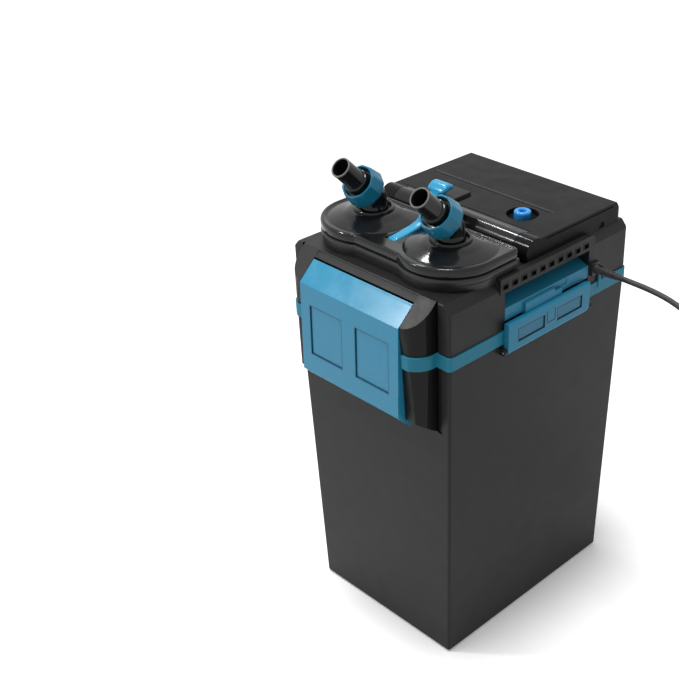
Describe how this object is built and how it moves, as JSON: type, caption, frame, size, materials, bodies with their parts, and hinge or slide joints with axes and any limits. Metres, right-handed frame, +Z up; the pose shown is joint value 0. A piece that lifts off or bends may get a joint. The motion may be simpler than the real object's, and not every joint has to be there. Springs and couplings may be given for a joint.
{
  "type": "canister filter",
  "caption": "Tall external canister filter with a clamped pump head, swivelling hose fittings behind a shut-off lever, a priming button and a power cord.",
  "frame": {"origin": "centre of the base on the floor, without the cord", "axes": "+Z up, -Y towards the front with the hose fittings, +X towards the side where the cord leaves"},
  "size_m": [0.3511, 0.409, 0.4575],
  "materials": {
    "housing": "fine moulded texture",
    "head": "satin",
    "cover": "satin",
    "gloss_black": "glossy",
    "blue_band": "semi-gloss",
    "blue_clamp": "semi-gloss",
    "blue_gloss": "glossy",
    "rubber": "matt",
    "steel": "drawn",
    "brass": "plain",
    "basket": "moulded",
    "coarse_foam": "open foam",
    "bio_rings": "sintered",
    "fine_foam": "wadding",
    "resin": "cast",
    "shaft": "polished"
  },
  "bodies": {
    "filter": {"canister": "housing", "rubber_feet": "rubber", "seal_band": "blue_band", "o_ring": "rubber", "pump_head": "head", "motor_cover": "cover", "grip_bar": "gloss_black", "button_spring": "steel", "front_clamp_pins": "steel", "rear_clamp_pins": "steel", "side_pin_right": "steel", "side_pin_left": "steel", "strain_relief": "rubber", "power_cord": "rubber", "cord_coil": "rubber", "plug": "rubber", "plug_pins": "brass", "basket_lower": "basket", "basket_middle": "basket", "basket_upper": "basket", "coarse_foam": "coarse_foam", "bio_rings": "bio_rings", "fine_foam": "fine_foam", "basket_handle": "basket", "riser_tube": "housing", "motor_block": "resin", "impeller_shaft": "shaft", "impeller_cover": "housing"},
    "valves": {"valve_block": "gloss_black", "valve_spigots": "housing", "swivel_collars": "gloss_black", "lever_catch": "gloss_black", "lever_pin": "steel"},
    "lever": {"shutoff_lever": "blue_gloss"},
    "fitting_left": {"elbow_left": "gloss_black", "hose_end_left": "gloss_black"},
    "fitting_right": {"elbow_right": "gloss_black", "hose_end_right": "gloss_black"},
    "nut_left": {"union_nut_left": "blue_gloss"},
    "nut_right": {"union_nut_right": "blue_gloss"},
    "button": {"priming_button": "blue_gloss"},
    "clamp_front": {"front_clamp": "blue_clamp"},
    "clamp_rear": {"rear_clamp": "blue_clamp"},
    "clamp_right": {"side_clamp_right": "blue_clamp"},
    "clamp_left": {"side_clamp_left": "blue_clamp"},
    "rotor": {"impeller": "housing"}
  },
  "joints": [
    {"name": "valve_lift", "type": "slide", "parent": "filter", "child": "valves", "axis": [0, 0, 1], "range_m": [0, 0.06]},
    {"name": "lever_hinge", "type": "hinge", "parent": "valves", "child": "lever", "pos_m": [0, -0.084, 0.394], "axis": [1, 0, 0], "range_deg": [0, 80]},
    {"name": "left_swivel", "type": "hinge", "parent": "valves", "child": "fitting_left", "pos_m": [-0.0464, -0.0637, 0.398], "axis": [0, 0, 1], "range_deg": [-120, 30]},
    {"name": "right_swivel", "type": "hinge", "parent": "valves", "child": "fitting_right", "pos_m": [0.0464, -0.0637, 0.398], "axis": [0, 0, 1], "range_deg": [-30, 120]},
    {"name": "left_nut_turn", "type": "hinge", "parent": "fitting_left", "child": "nut_left", "pos_m": [-0.0464, -0.0637, 0.4151], "axis": [0, -0.7071, 0.7071], "continuous": true},
    {"name": "right_nut_turn", "type": "hinge", "parent": "fitting_right", "child": "nut_right", "pos_m": [0.0464, -0.0637, 0.4151], "axis": [0, -0.7071, 0.7071], "continuous": true},
    {"name": "button_press", "type": "slide", "parent": "filter", "child": "button", "axis": [0, 0, -1], "range_m": [0, 0.006], "stiffness_N_per_m": 600, "deforming": ["button_spring"]},
    {"name": "front_clamp_hinge", "type": "hinge", "parent": "filter", "child": "clamp_front", "pos_m": [0, -0.1215, 0.3658], "axis": [-1, 0, 0], "range_deg": [0, 70]},
    {"name": "rear_clamp_hinge", "type": "hinge", "parent": "filter", "child": "clamp_rear", "pos_m": [0, 0.1215, 0.3658], "axis": [1, 0, 0], "range_deg": [0, 70]},
    {"name": "right_clamp_hinge", "type": "hinge", "parent": "filter", "child": "clamp_right", "pos_m": [0.099, 0, 0.312], "axis": [0, 1, 0], "range_deg": [0, 75]},
    {"name": "left_clamp_hinge", "type": "hinge", "parent": "filter", "child": "clamp_left", "pos_m": [-0.099, 0, 0.312], "axis": [0, -1, 0], "range_deg": [0, 75]},
    {"name": "rotor_turn", "type": "hinge", "parent": "filter", "child": "rotor", "pos_m": [0, 0.045, 0.35], "axis": [0, 0, 1], "continuous": true}
  ]
}
